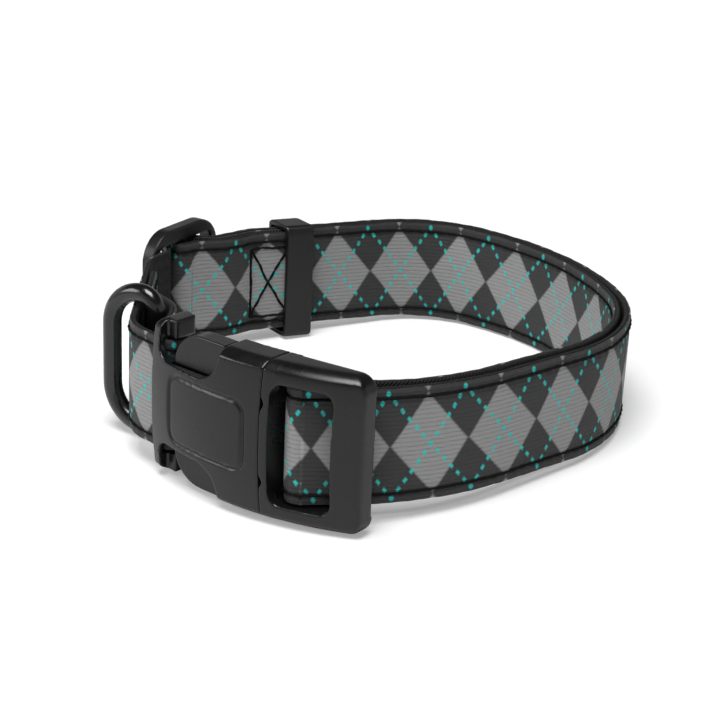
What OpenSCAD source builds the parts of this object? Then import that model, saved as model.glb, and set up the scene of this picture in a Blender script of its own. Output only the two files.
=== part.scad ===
// Adjustable quick-release pet collar, closed and lying on its edge.
// Lengths are in millimetres. +Z is up and the floor is at z = 0.
// Every piece is drawn in the buckle's own frame: x runs along the buckle from socket to plug,
// y points in towards the neck, z is the strap's width, and the origin is on the line where the halves meet.

/* [Strap] */
// Strap width from edge to edge
strap_w = 25.4; // [20:0.2:30]
// Webbing core thickness
core_t = 1.1; // [0.8:0.1:1.4]
// Printed cover thickness
cover_t = 0.5; // [0.3:0.1:0.7]
// Slack left between the two strap layers at the back
layer_gap = 0.4; // [0.3:0.1:1]
// Slack left between the two strap layers at the front
front_gap = 1.4; // [0.6:0.1:2]

/* [Ring shape] */
// Angle at which the strap leaves the plug, in degrees
strap_angle = 44; // [40:1:48]
// Front stretch radius
front_r = 66; // [60:1:76]
// Front stretch turn in degrees
front_turn = 35; // [31:1:39]
// Right end radius
right_r = 41.5; // [38:0.5:46]
// Right end turn in degrees
right_turn = 62; // [58:1:66]
// Back stretch radius
back_r = 73; // [68:1:80]
// Back stretch turn in degrees
back_turn = 44; // [41:1:47]
// Back corner radius
corner_r = 29; // [26:1:34]
// Back corner turn in degrees
corner_turn = 56; // [53:1:59]
// Straight run on the left, between the adjuster and the D-ring
left_run = 38.5; // [36:0.5:41]

/* [Buckle] */
// Width of the side rails beside the strap
rail_w = 4.1; // [3.6:0.1:5]
// Socket length from its strap end to the split
socket_l = 32.8; // [32:0.2:36]
// Plug frame length from the split to its strap end
plug_l = 20.8; // [20:0.2:23]
// Thickness through the middle
buckle_t = 9.2; // [9:0.1:10]
// Radius of the outside, which follows the neck
crown_r = 68; // [60:1:80]
// Radius of the slight crown across the outside
cross_r = 120; // [90:5:200]
// Rounding of the outside's long edges
edge_r = 4.4; // [3:0.1:5]
// Rounding of the plug's corners
plug_corner = 4; // [3:0.2:5]
// Strap bar radius in both halves
bar_r = 1.2; // [1:0.1:1.4]
// Length of the closed mouth that the prongs pass through
mouth_l = 11.2; // [10:0.2:12]
// Wall of the mouth beside the prongs
mouth_wall = 2.3; // [1.8:0.1:2.6]
// Depth of the finger scoops in the socket's sides
scoop_depth = 8; // [7:0.1:8.4]
// Bend radius of the finger scoops
scoop_r = 6.2; // [5:0.2:6.6]
// Bend radius of the prong tabs
tab_r = 7.6; // [6:0.2:8]
// Length of the panel outlined on the socket
panel_l = 22.6; // [18:0.2:23]
// Height of the panel outlined on the socket
panel_h = 16; // [12:0.2:17]
// Width of the outline groove
groove_w = 0.9; // [0.6:0.1:1.2]
// Depth of the outline groove
groove_d = 0.6; // [0.3:0.1:0.8]
// Window length in the plug frame
window_l = 13; // [12.6:0.1:13.4]
// Thickness of the plug's end bar
end_bar_t = 4.2; // [3.6:0.1:4.6]
// Rounding of the plug's strap end
end_r = 2.4; // [1:0.2:3]

/* [D-ring] */
// Wire diameter
wire_d = 4.2; // [3:0.1:4.6]
// Room left for the strap inside the ring, in height
ring_slack = 1.6; // [1.2:0.2:4]
// Depth from the middle of the post to the middle of the bow
ring_depth = 12.5; // [11.5:0.5:16]
// Bend radius at the corners, on the wire's middle line
ring_corner = 4; // [3.4:0.2:5]

/* [Adjuster] */
// Length along the strap
glide_l = 26; // [25:0.5:28]
// Width of its sides, above and below the strap
glide_side = 3.5; // [2.6:0.1:5]
// Plate thickness
glide_t = 3.4; // [2.8:0.1:3.8]
// Corner radius
glide_corner = 7.5; // [5:0.5:8.5]
// Width of each end bar
glide_bar = 3; // [2.6:0.1:3.4]
// Radius of the middle bar
glide_bar_r = 1.3; // [1.1:0.1:1.4]

/* [Keeper] */
// Length along the strap
keeper_l = 7; // [6:0.2:8]
// Wall thickness
keeper_wall = 1.2; // [1:0.1:1.6]
// How far the loop has slewed on the strap, in degrees
keeper_slew = 14; // [0:1:18]
// How far the loop hangs below the strap, beyond its play
keeper_hang = 0.6; // [0:0.1:0.7]

/* [Stitching] */
// Distance of the edge seams from the strap edges
seam_inset = 2.2; // [1.6:0.1:3]
// Thread width
thread_w = 0.6; // [0.4:0.1:0.8]
// How far the thread stands out of the cover
thread_proud = 0.2; // [0.1:0.05:0.25]
// Length of the box stitch beside the adjuster
box_l = 11.4; // [8:0.2:12]
// Length of the box stitch beside the D-ring
ring_box_l = 9; // [7:0.2:10]
// Distance of the box stitches from the edge seams
box_inset = 1.2; // [0.8:0.1:2.6]

/* [Resting pose] */
// How far the collar leans on the floor, in degrees
lean = 2.9; // [0:0.1:5]
// Heading of the low side, in degrees
lean_heading = 30; // [0:1:90]
// Heading of the buckle in plan, in degrees
buckle_heading = -40; // [-50:1:0]

/* [Hidden] */
$fn = 48;
tiny = 0.01;
clear = 0.4;
far = 60;
strap_t = core_t + cover_t;
half_w = strap_w / 2;
opening_h = strap_w + 1;
half_h = opening_h / 2 + rail_w;
buckle_h = 2 * half_h;
loop_in = bar_r + clear;
loop_out = loop_in + strap_t;
box_h = strap_w - 2 * (seam_inset + box_inset);

// The outside of the buckle is an arc in plan, and its apex lies over the prongs
apex_x = -11.7;
apex_y = -6.5;
crown_c = [apex_x, apex_y + crown_r];
function out_y(x) = crown_c[1] - sqrt(pow(crown_r, 2) - pow(x - apex_x, 2));
function back_y(x) = crown_c[1] - sqrt(pow(crown_r - buckle_t, 2) - pow(x - apex_x, 2));

// Strap bars: each stands off from the nearest wall by one turn of strap
front_wall = 2;
socket_plate = 1.9;
plug_bar_depth = 5.7;
end_margin = 1.6;
plug_bar_x = front_wall + clear + loop_out;
plug_bar = [plug_bar_x, out_y(plug_bar_x) + plug_bar_depth];
socket_bar_x = -(socket_l - end_margin);
socket_bar = [socket_bar_x, out_y(socket_bar_x) + socket_plate + clear + loop_out];
slot_x = socket_bar_x + loop_out + 0.3;

// Route of the strap in plan
split_at = [-19, -50.55];
exit_run = 5.6;
glide_run = 8;
glide_r = 40;
glide_turn = 38;
left_r = 9;
left_turn = 32;
ring_bend_r = 12;
ring_bend_turn = 42;
neck_run = 5.7;
entry_r = 8;
entry_run = 1;
entry_turn = 360 - strap_angle - front_turn - right_turn - back_turn - corner_turn
    - glide_turn - left_turn - ring_bend_turn;

// A chain of straight runs and left-hand bends: [run, bend radius, turn].
// Two of the runs are left at zero here and are solved below, so that the ring always closes on the buckle.
open_steps = [
    [exit_run, front_r, front_turn],
    [0, right_r, right_turn],
    [0, back_r, back_turn],
    [0, corner_r, corner_turn],
    [0, glide_r, glide_turn],
    [glide_run, left_r, left_turn],
    [left_run, ring_bend_r, ring_bend_turn],
    [neck_run, entry_r, entry_turn],
    [entry_run, 1, 0]
];
right_step = 1;
glide_step = 4;

function dir(a) = [cos(a), sin(a)];
function side(a) = [-sin(a), cos(a)];
function bend(r, h, t) = r * (side(h) - side(h + t));
function ease(x) = let (k = min(1, max(0, x))) k * k * (3 - 2 * k);
function travel(i = 0, h = strap_angle, p = [0, 0]) =
    i == len(open_steps) ? p
    : let (q = open_steps[i])
      travel(i + 1, h + q[2], p + q[0] * dir(h) + bend(q[1], h, q[2]));

start_at = plug_bar - loop_out * side(strap_angle);
end_at = socket_bar - [0, loop_out];
missing = end_at - start_at - travel();
run_1_h = strap_angle + front_turn;
run_2_h = run_1_h + right_turn + back_turn + corner_turn;
run_1 = (missing[0] * sin(run_2_h) - missing[1] * cos(run_2_h)) / sin(run_2_h - run_1_h);
run_2 = (cos(run_1_h) * missing[1] - sin(run_1_h) * missing[0]) / sin(run_2_h - run_1_h);

steps = [for (i = [0 : len(open_steps) - 1])
    let (q = open_steps[i])
    i == right_step ? [run_1, q[1], q[2]] : i == glide_step ? [run_2, q[1], q[2]] : q];

function bend_l(i) = steps[i][1] * steps[i][2] * PI / 180;
function step_at(i) = i == 0 ? 0 : step_at(i - 1) + steps[i - 1][0] + bend_l(i - 1);
function legs(i = 0, s = 0, p = start_at, h = strap_angle) =
    i == len(steps) ? []
    : let (q = steps[i], m = p + q[0] * dir(h))
      concat([[s, p, h, 0], [s + q[0], m, h, q[1]]],
             legs(i + 1, s + q[0] + bend_l(i), m + bend(q[1], h, q[2]), h + q[2]));

route = legs();
function leg_of(s, i) = i == 0 || route[i][0] <= s + tiny / 10 ? i : leg_of(s, i - 1);
function heading(s) =
    let (g = route[leg_of(s, len(route) - 1)])
    g[2] + (g[3] > 0 ? (s - g[0]) / g[3] * 180 / PI : 0);
function place(s, d) =
    let (g = route[leg_of(s, len(route) - 1)], a = heading(s))
    (g[3] > 0 ? g[1] + bend(g[3], g[2], a - g[2]) : g[1] + (s - g[0]) * dir(g[2])) + d * side(a);

// Stations along the route, each a stated length back from the one it goes with
glide_back = 12;
box_back = 23.3;
keeper_back = 6.8;
post_back = 4;
ring_box_back = 19.5;
flap_margin = 1;
split_s = step_at(right_step) + run_1 + bend_l(right_step) / 2;
glide_s = step_at(5) + glide_run - glide_back;
post_s = step_at(6) + left_run - post_back;
end_s = step_at(8) + entry_run;
box_s = glide_s - box_back;
flap_s = box_s - box_l / 2 - flap_margin;
keeper_s = box_s - keeper_back;
ring_box_s = post_s - ring_box_back;
back_flap_s = ring_box_s - ring_box_l / 2 - 2 * flap_margin;

// Adjuster: its end bars lie outside the strap, and the outer layer rises between them over the middle bar.
// The plate stands in by glide_in from the strap's own line, and is tilted on the strap by glide_tilt.
glide_in = 0.6;
glide_tilt = 5;
glide_heading = heading(glide_s) + glide_tilt;
glide_out = glide_t - glide_in;
glide_mid = glide_in - glide_bar_r;
glide_loop = glide_bar_r + clear;
slot_end = glide_l / 2 - glide_bar - 0.5;
fade_start = glide_l / 2 + 0.5;
fade_l = 5.6;
dip = glide_in + clear;
hump = glide_mid - glide_loop - 2 * strap_t - clear;

function outer_d(s) =
    let (x = abs(s - glide_s))
    x < slot_end ? (dip + hump) / 2 - (dip - hump) / 2 * cos(180 * x / slot_end)
    : dip * (1 - ease((x - fade_start) / fade_l));
function flap_d(s) = outer_d(s) + strap_t + clear;

// The inner layer's slack closes up from the buckle to the back, and the flap lifts it where there is one
layer_clear = 0.3;
flap_ramp = 4.4;
slack_back = 40;
slack_l = 90;
bar_slack_l = 30;
inner_fall = slot_end + 1;
function gap_at(s) =
    layer_gap + (front_gap - layer_gap) * (1 - ease((s - split_s + slack_back) / slack_l))
    + (2 * loop_in - front_gap) * (1 - ease(s / bar_slack_l));
function stack_d(s) =
    outer_d(s) + strap_t + gap_at(s) + (strap_t + layer_clear) * ease((s - flap_s + flap_ramp) / flap_ramp);
function inner_d(s) =
    let (x = glide_s - s, bar_top = glide_mid + glide_loop)
    x < inner_fall ? bar_top + (stack_d(glide_s - inner_fall) - bar_top) * ease(x / inner_fall)
    : stack_d(s);

// D-ring post, held between the strap and its turned-back end
wire_r = wire_d / 2;
post_gap = 1.9;
post_d = strap_t + wire_r + post_gap;
post_at = place(post_s, post_d);
ring_a = (strap_w + ring_slack) / 2 + wire_r;
ring_heading = 188;
pocket_l = 14;
bar_d = strap_t + 2 * loop_in;
pocket_d = post_d + wire_r + 0.5;
function turn_d(s) =
    s > post_s ? bar_d + (pocket_d - bar_d) * ease((end_s - 1 - s) / (end_s - 1 - post_s))
    : strap_t + layer_clear + (pocket_d - strap_t - layer_clear) * (1 - ease((post_s - 2 - s) / pocket_l));

function stations(a, b, step) =
    let (n = ceil(abs(b - a) / step)) [for (i = [0 : n]) a + (b - a) * i / n];
function around(c, r, a, b, n) = [for (i = [0 : n]) c + r * dir(a + (b - a) * i / n)];
function back_to_front(v) = [for (i = [len(v) - 1 : -1 : 0]) v[i]];

coarse = 3;
medium = 1.6;
fine = 0.95;
fold_n = 10;
glide_in_s = glide_s - slot_end;
glide_out_s = glide_s + slot_end;
front_st = back_to_front(stations(0, split_s, coarse));
inner_st = concat(stations(split_s, flap_s - flap_ramp, coarse),
    stations(flap_s - flap_ramp + 1, glide_in_s - 1, medium), stations(glide_in_s, glide_s, fine));
flap_st = concat(stations(glide_s, glide_in_s, fine), stations(glide_in_s - 1, flap_s, medium));
outer_st = concat(stations(split_s, flap_s, coarse), stations(flap_s + 1, glide_in_s - 1, medium),
    stations(glide_in_s, glide_out_s, fine), stations(glide_out_s + 1, end_s, medium));
turn_st = stations(end_s, back_flap_s, medium);

// Each hairpin runs out along one layer, round a bar and back along the other.
// depth counts from the printed face into the strap.
function front_line(depth) = concat(
    [for (s = front_st) place(s, outer_d(s) + depth)],
    around(plug_bar, loop_out - depth, strap_angle + 270, strap_angle + 90, fold_n),
    [for (s = back_to_front(front_st)) place(s, inner_d(s) + strap_t - depth)]);
function inner_line(depth) = concat(
    [for (s = inner_st) place(s, inner_d(s) + strap_t - depth)],
    [for (p = around([0, glide_mid], glide_loop + strap_t - depth, 90, -90, fold_n))
        place(glide_s, 0) + p[0] * dir(glide_heading) + p[1] * side(glide_heading)],
    [for (s = flap_st) place(s, flap_d(s) + depth)]);
function outer_line(depth) = concat(
    [for (s = outer_st) place(s, outer_d(s) + depth)],
    around(socket_bar, loop_out - depth, -90, 90, fold_n),
    [for (s = turn_st) place(s, turn_d(s) + strap_t - depth)]);

// The lean tips the collar until it stands on the plug, the adjuster and the strap, and floor_h lifts it
glide_h = opening_h + 2 * glide_side;
function plan(p) = split_at + p[0] * dir(buckle_heading) + p[1] * side(buckle_heading);
function drop(p, h) = h * cos(lean) + (plan(p) * dir(lean_heading)) * sin(lean);
floor_h = max(concat(
    [for (s = stations(0, end_s, coarse)) drop(place(s, outer_d(s)), half_w)],
    [for (x = [-1, 1])
        drop(place(glide_s, glide_in) + x * (glide_l / 2 - glide_corner) * dir(glide_heading), glide_h / 2)],
    [for (x = [plug_corner, plug_l - plug_corner]) drop([x, back_y(0) + x / 8], half_h)]));

module stand() {
    translate([0, 0, floor_h])
        rotate([0, 0, lean_heading])
            rotate([0, lean, 0])
                rotate([0, 0, -lean_heading])
                    translate([split_at[0], split_at[1], 0])
                        rotate([0, 0, buckle_heading])
                            children();
}

module along(s) {
    p = place(s, 0);
    translate([p[0], p[1], 0])
        rotate([0, 0, heading(s)])
            children();
}

// A flat band of strap standing on edge, between two lines
module ribbon(a, b, h) {
    linear_extrude(height = h, center = true)
        polygon(concat(a, back_to_front(b)));
}

module seams(a, b) {
    for (k = [-1, 1])
        translate([0, 0, k * (half_w - seam_inset)])
            ribbon(a, b, thread_w);
}

module round_rect(w, h, r) {
    square([w - 2 * r, h], center = true);
    square([w, h - 2 * r], center = true);
    for (i = [-1, 1])
        for (j = [-1, 1])
            translate([i * (w / 2 - r), j * (h / 2 - r)])
                circle(r = r);
}

// Outline seen from outside, x by z, carried through the buckle's thickness from y0 to y1
module through(y0, y1) {
    translate([0, y1, 0])
        rotate([90, 0, 0])
            linear_extrude(height = y1 - y0)
                children();
}

// The buckle's section, swept along the crown's arc: flat sides, rounded outer edges and a slight crown
module crown() {
    deep = 22;
    translate([crown_c[0], crown_c[1], 0])
        rotate_extrude($fn = 360)
            intersection() {
                union() {
                    translate([crown_r - deep, -half_h])
                        square([deep - edge_r, buckle_h]);
                    translate([crown_r - deep, edge_r - half_h])
                        square([deep, buckle_h - 2 * edge_r]);
                    for (k = [-1, 1])
                        translate([crown_r - edge_r, k * (half_h - edge_r)])
                            circle(r = edge_r);
                }
                translate([crown_r - cross_r, 0])
                    circle(r = cross_r, $fn = 240);
            }
}

// Everything further in than a depth below the crown, over a height
module below_crown(depth, h) {
    translate([crown_c[0], crown_c[1], -h / 2])
        cylinder(r = crown_r - depth, h = h, $fn = 360);
}

scoop_x = -(mouth_l + scoop_r);
wing_r = 2;
wing_bend = 3.4;
wing_l = 2.4;
wing_back_l = 5;
wing_step = -0.6;

// Finger scoop: a round end at the mouth, and a flat bottom that bends up to the wing
module scoop_outline(left) {
    bottom = half_h - scoop_depth;
    translate([scoop_x, bottom + scoop_r])
        circle(r = scoop_r);
    translate([scoop_x, bottom + scoop_r])
        square([scoop_r, scoop_depth]);
    translate([left + wing_bend, bottom])
        square([scoop_x - left - wing_bend, 2 * scoop_depth]);
    translate([left, bottom + wing_bend])
        square([scoop_x - left, 2 * scoop_depth]);
    translate([left + wing_bend, bottom + wing_bend])
        circle(r = wing_bend);
}

module both_scoops(left) {
    scoop_outline(left);
    mirror([0, 1])
        scoop_outline(left);
}

module socket_outline() {
    difference() {
        union() {
            translate([-socket_l, wing_r - half_h])
                square([socket_l, buckle_h - 2 * wing_r]);
            translate([wing_r - socket_l, -half_h])
                square([socket_l - wing_r, buckle_h]);
            for (k = [-1, 1])
                translate([wing_r - socket_l, k * (half_h - wing_r)])
                    circle(r = wing_r);
        }
        both_scoops(wing_back_l - socket_l);
    }
}

panel_margin = 3.4;
panel_r = 3.2;

module panel_groove() {
    difference() {
        translate([-panel_margin - panel_l / 2, 0, 0])
            through(apex_y - 1, 0)
                difference() {
                    round_rect(panel_l, panel_h, panel_r);
                    round_rect(panel_l - 2 * groove_w, panel_h - 2 * groove_w, panel_r - groove_w);
                }
        below_crown(groove_d, far);
    }
}

end_wall = 1.1;
outer_plate = 1.3;
back_plate = 1.2;
cavity_end = slot_x + end_wall;
cavity_half = half_h - mouth_wall;
cavity_y0 = out_y(cavity_end) + outer_plate;
cavity_y1 = apex_y + buckle_t - back_plate;

module socket() {
    color([0.13, 0.13, 0.14]) {
        difference() {
            intersection() {
                crown();
                through(-far / 2, far / 2)
                    socket_outline();
            }
            below_crown(buckle_t, far);
            // The outer half of each wing is thinner
            through(-far / 2, wing_step)
                both_scoops(wing_l - socket_l);
            // Room for the prongs: open at the mouth, and at both sides up to the mouth
            translate([cavity_end, cavity_y0, -cavity_half])
                cube([1 - cavity_end, cavity_y1 - cavity_y0, 2 * cavity_half]);
            translate([cavity_end, cavity_y0, -far / 2])
                cube([-mouth_l - cavity_end, cavity_y1 - cavity_y0, far]);
            // Room for the strap and its turned-back end
            translate([-far, socket_bar[1] - loop_out - clear, -opening_h / 2])
                cube([far + slot_x, far, opening_h]);
            panel_groove();
        }
        translate([socket_bar[0], socket_bar[1], 0])
            cylinder(r = bar_r, h = opening_h + 1, center = true);
    }
}

module plug_outline() {
    translate([0, -half_h])
        square([plug_l / 2, buckle_h]);
    translate([plug_l / 2, 0])
        round_rect(plug_l, buckle_h, plug_corner);
}

// Corner cut off the plug's strap end, which leaves a round that meets the crown's arc
end_c = [plug_l - end_r,
    crown_c[1] - sqrt(pow(crown_r - end_r, 2) - pow(plug_l - end_r - crown_c[0], 2))];

module end_corner() {
    out = (end_c - crown_c) / norm(end_c - crown_c);
    linear_extrude(height = far, center = true)
        difference() {
            polygon([end_c, end_c + far * out, end_c + [far, -far], end_c + [far, 0]]);
            translate(end_c)
                circle(r = end_r);
        }
}

split_gap = 0.05;
window_r = 2.6;
window_rim = 3;
back_slope = 8.5;
prong_root = [-1.2, 8.5];
root_r = 1.6;
seat_r = root_r + 0.3;
tongue_l = 13;
tongue_h = 4.8;
tongue_tip = 1.2;

module plug() {
    color([0.15, 0.15, 0.16]) {
        difference() {
            intersection() {
                crown();
                through(-far / 2, far / 2)
                    plug_outline();
                translate([0, back_y(0), 0])
                    rotate([0, 0, back_slope])
                        translate([-far / 2, -far, -far / 2])
                            cube([2 * far, far, far]);
                translate([split_gap, -far / 2, -far / 2])
                    cube([far, far, far]);
            }
            end_corner();
            // Window
            translate([front_wall + window_l / 2, 0, 0])
                through(-far / 2, far / 2)
                    round_rect(window_l, opening_h, window_r);
            // Room for the strap behind the window's rim, and its way out behind the end bar
            intersection() {
                below_crown(window_rim, opening_h);
                translate([front_wall, -far / 2, -opening_h / 2])
                    cube([window_l / 2, far, opening_h]);
            }
            intersection() {
                below_crown(end_bar_t, opening_h);
                translate([front_wall + window_r, -far / 2, -opening_h / 2])
                    cube([far, far, opening_h]);
            }
            // Seats for the prong roots
            for (k = [-1, 1])
                translate([prong_root[0], 0, k * prong_root[1]])
                    rotate([90, 0, 0])
                        cylinder(r = seat_r, h = far, center = true);
        }
        translate([plug_bar[0], plug_bar[1], 0])
            cylinder(r = bar_r, h = opening_h + 1, center = true);
        // Guide tongue between the prongs
        through(cavity_y0 + clear, cavity_y1 - clear)
            polygon([[-tongue_l, -tongue_tip], [-tongue_l + 2, -tongue_h / 2], [1, -tongue_h / 2],
                [1, tongue_h / 2], [-tongue_l + 2, tongue_h / 2], [-tongue_l, tongue_tip]]);
    }
}

tab_left = cavity_end + 0.7;
tab_top = half_h - 0.3;
tab_low = 9;
shoulder_x = -mouth_l - clear;
arm_top = 12.6;

// Sprung arm with a thumb tab, whose shoulder catches behind the mouth
module prong_outline() {
    translate(prong_root)
        circle(r = root_r);
    polygon([[prong_root[0], prong_root[1] - root_r], [prong_root[0], prong_root[1] + root_r],
        [shoulder_x, arm_top], [tab_left + tab_r, arm_top], [tab_left + tab_r, tab_low], [shoulder_x, tab_low]]);
    intersection() {
        union() {
            translate([tab_left + tab_r, tab_top - tab_r])
                circle(r = tab_r);
            translate([tab_left + tab_r, tab_low])
                square([shoulder_x - tab_left - tab_r, tab_top - tab_low]);
        }
        translate([tab_left, tab_low])
            square([shoulder_x - tab_left, tab_top - tab_low]);
    }
}

module prong() {
    through(cavity_y0 + clear, cavity_y1 - clear)
        prong_outline();
}

module upper_prong() {
    color([0.2, 0.2, 0.21])
        prong();
}

module lower_prong() {
    color([0.2, 0.2, 0.21])
        mirror([0, 0, 1])
            prong();
}

// Straight post, two tight corners and a wide bow, one round wire
module d_ring() {
    bow_r = ring_depth - ring_corner;
    flat = ring_a - bow_r;
    color([0.06, 0.06, 0.07])
        translate([post_at[0], post_at[1], 0])
            rotate([0, 0, ring_heading])
                rotate([90, 0, 0]) {
                    rotate([90, 0, 0])
                        cylinder(r = wire_r, h = 2 * (ring_a - ring_corner), center = true);
                    for (k = [0, 1])
                        mirror([0, k]) {
                            translate([ring_corner, ring_a - ring_corner])
                                rotate([0, 0, 90])
                                    rotate_extrude(angle = 90)
                                        translate([ring_corner, 0])
                                            circle(r = wire_r);
                            translate([ring_corner, flat])
                                rotate_extrude(angle = 90)
                                    translate([bow_r, 0])
                                        circle(r = wire_r);
                        }
                    translate([ring_depth, 0])
                        rotate([90, 0, 0])
                            cylinder(r = wire_r, h = 2 * flat, center = true);
                }
}

glide_slot_r = 1.5;

// Flat slide with a middle bar, which carries the sewn end of the strap
module adjuster() {
    color([0.14, 0.14, 0.15])
        along(glide_s)
            rotate([0, 0, glide_tilt]) {
                difference() {
                    through(-glide_out, glide_in)
                        round_rect(glide_l, glide_h, glide_corner);
                    through(-far / 2, far / 2)
                        round_rect(glide_l - 2 * glide_bar, opening_h, glide_slot_r);
                }
                translate([0, glide_mid, 0])
                    cylinder(r = glide_bar_r, h = opening_h + 1, center = true);
            }
}

keeper_play = 0.5;
keeper_out = -thread_proud - 0.3;
keeper_in = inner_d(flap_s) + strap_t + keeper_play;
keeper_h = opening_h + keeper_hang;
keeper_corner = 1.6;
keeper_hole_corner = 0.6;

// Moulded loop that slides over the layers: its outer wall has slewed ahead of its inner wall
module keeper() {
    y0 = keeper_out - keeper_wall;
    y1 = keeper_in + keeper_wall;
    half_l = keeper_l / 2;
    shift = (y1 - y0) / 2 * tan(keeper_slew);
    color([0.15, 0.15, 0.16])
        along(keeper_s)
            intersection() {
                linear_extrude(height = far, center = true)
                    polygon([[shift - half_l, y0], [shift + half_l, y0],
                        [half_l - shift, y1], [-shift - half_l, y1]]);
                translate([0, (keeper_in + keeper_out) / 2, 0])
                    rotate([0, 90, 0])
                        linear_extrude(height = far, center = true)
                            translate([keeper_hang / 2, 0])
                                difference() {
                                    round_rect(keeper_h + 2 * keeper_wall, y1 - y0, keeper_corner);
                                    round_rect(keeper_h, keeper_in - keeper_out, keeper_hole_corner);
                                }
            }
}

module front_webbing() {
    color([0.1, 0.1, 0.1])
        ribbon(front_line(cover_t), front_line(strap_t), strap_w);
}

module front_cover() {
    color([0.35, 0.45, 0.45])
        ribbon(front_line(0), front_line(cover_t), strap_w);
}

module outer_webbing() {
    color([0.1, 0.1, 0.1])
        ribbon(outer_line(cover_t), outer_line(strap_t), strap_w);
}

module outer_cover() {
    color([0.3, 0.42, 0.42])
        ribbon(outer_line(0), outer_line(cover_t), strap_w);
}

module inner_webbing() {
    color([0.1, 0.1, 0.1])
        ribbon(inner_line(cover_t), inner_line(strap_t), strap_w);
}

module inner_cover() {
    color([0.38, 0.48, 0.48])
        ribbon(inner_line(0), inner_line(cover_t), strap_w);
}

module front_seams() {
    color([0.02, 0.02, 0.02])
        seams(front_line(-thread_proud), front_line(0));
}

module outer_seams() {
    color([0.02, 0.02, 0.02])
        seams(outer_line(-thread_proud), outer_line(0));
}

module inner_seams() {
    color([0.02, 0.02, 0.02])
        seams(inner_line(-thread_proud), inner_line(0));
}

// Box of stitches with a cross in it, lying on a face from y0 to y1
module box_stitch(l, h, y0, y1) {
    w = l - thread_w;
    rise = h - thread_w;
    through(y0, y1)
        intersection() {
            square([l, h], center = true);
            union() {
                difference() {
                    square([l, h], center = true);
                    square([l - 2 * thread_w, h - 2 * thread_w], center = true);
                }
                for (k = [-1, 1])
                    rotate(k * atan2(rise, w))
                        square([sqrt(w * w + rise * rise), thread_w], center = true);
            }
        }
}

module adjuster_box_stitch() {
    face = inner_d(box_s) + strap_t;
    color([0.02, 0.02, 0.02])
        intersection() {
            along(box_s)
                box_stitch(box_l, box_h, face - 1, face + 2);
            ribbon(inner_line(-thread_proud), inner_line(0), strap_w);
        }
}

module ring_box_stitch() {
    color([0.02, 0.02, 0.02])
        along(ring_box_s)
            box_stitch(ring_box_l, box_h, -thread_proud, 0);
}

stand() {
    socket();
    plug();
    upper_prong();
    lower_prong();
    d_ring();
    adjuster();
    keeper();
    front_webbing();
    front_cover();
    outer_webbing();
    outer_cover();
    inner_webbing();
    inner_cover();
    front_seams();
    outer_seams();
    inner_seams();
    adjuster_box_stitch();
    ring_box_stitch();
}
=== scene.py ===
"""Looks of the adjustable quick-release pet collar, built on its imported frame.

The strap is worked out again here from the same route as the solids, in millimetres in the buckle's own
frame: x along the buckle from socket to plug, y in towards the neck, z across the strap.
stand() turns that into the shared frame, in metres.
"""

import math

import bmesh
import bpy
import numpy as np
from mathutils import Matrix, Vector


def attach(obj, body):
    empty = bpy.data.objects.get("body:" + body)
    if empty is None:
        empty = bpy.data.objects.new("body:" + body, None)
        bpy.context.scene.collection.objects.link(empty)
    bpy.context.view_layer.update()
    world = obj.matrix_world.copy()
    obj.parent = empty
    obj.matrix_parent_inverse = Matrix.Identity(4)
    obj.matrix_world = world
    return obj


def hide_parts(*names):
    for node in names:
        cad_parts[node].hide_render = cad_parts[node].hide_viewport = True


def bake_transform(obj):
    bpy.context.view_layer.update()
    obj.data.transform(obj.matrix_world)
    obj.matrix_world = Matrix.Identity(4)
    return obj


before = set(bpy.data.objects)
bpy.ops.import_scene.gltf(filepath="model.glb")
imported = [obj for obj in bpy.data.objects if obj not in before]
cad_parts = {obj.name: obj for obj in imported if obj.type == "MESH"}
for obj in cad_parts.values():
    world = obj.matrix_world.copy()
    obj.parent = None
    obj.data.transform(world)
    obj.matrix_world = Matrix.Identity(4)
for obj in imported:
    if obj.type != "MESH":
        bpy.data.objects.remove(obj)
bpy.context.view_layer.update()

# Sizes shared with the solids, in millimetres and degrees.
# Strap: width, thickness of core and ribbon, the seams' height, and the room between its layers
STRAP_W, CORE_T, COVER_T = 25.4, 1.1, 0.5
STRAP_T = CORE_T + COVER_T
SEAM_Z = STRAP_W / 2 - 2.2
CLEAR, LAYER_GAP, FRONT_GAP, LAYER_CLEAR = 0.4, 0.4, 1.4, 0.3
# Buckle: radii of the strap's loops, the bars that they go round, and the heading of the strap as it leaves the plug
LOOP_IN = 1.6
LOOP_OUT = LOOP_IN + STRAP_T
PLUG_BAR, SOCKET_BAR = np.array([5.6, 1.43747]), np.array([-31.2, 1.85593])
STRAP_ANGLE = 44.0
# Adjuster: length, width of its end bars, radius of its middle bar, its depth in the strap, its turn, the margin at
# its slots and ends, and the length over which the strap comes back from it
GLIDE_L, GLIDE_BAR, GLIDE_BAR_R, GLIDE_IN, GLIDE_TILT = 26.0, 3.0, 1.3, 0.6, 5.0
GLIDE_MARGIN, GLIDE_FADE = 0.5, 5.6
# D-ring: radius of its wire, half its height, depth, corner radius, heading at rest, and how far in its post stands
WIRE_R, RING_A, RING_DEPTH, RING_CORNER, RING_HEADING = 2.1, 15.6, 12.5, 4.0, 188.0
POST_D = STRAP_T + WIRE_R + 1.9
# Lengths back along the strap to the adjuster, to its box stitch, to the ring's post and to the ring's box stitch
GLIDE_BACK, BOX_BACK, POST_BACK, RING_BOX_BACK = 12, 23.3, 4, 19.5
BOX_L, BOX_H, RING_BOX_L = 11.4, 18.6, 9.0
KEEPER_HEADING = 241.0
# Place: the line between socket and plug, the buckle's heading, the lean, and the height of the strap's middle
SPLIT_AT, BUCKLE_HEADING = np.array([-19.0, -50.55]), -40.0
LEAN, LEAN_HEADING, FLOOR_H = 2.9, 30.0, 15.8425


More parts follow.
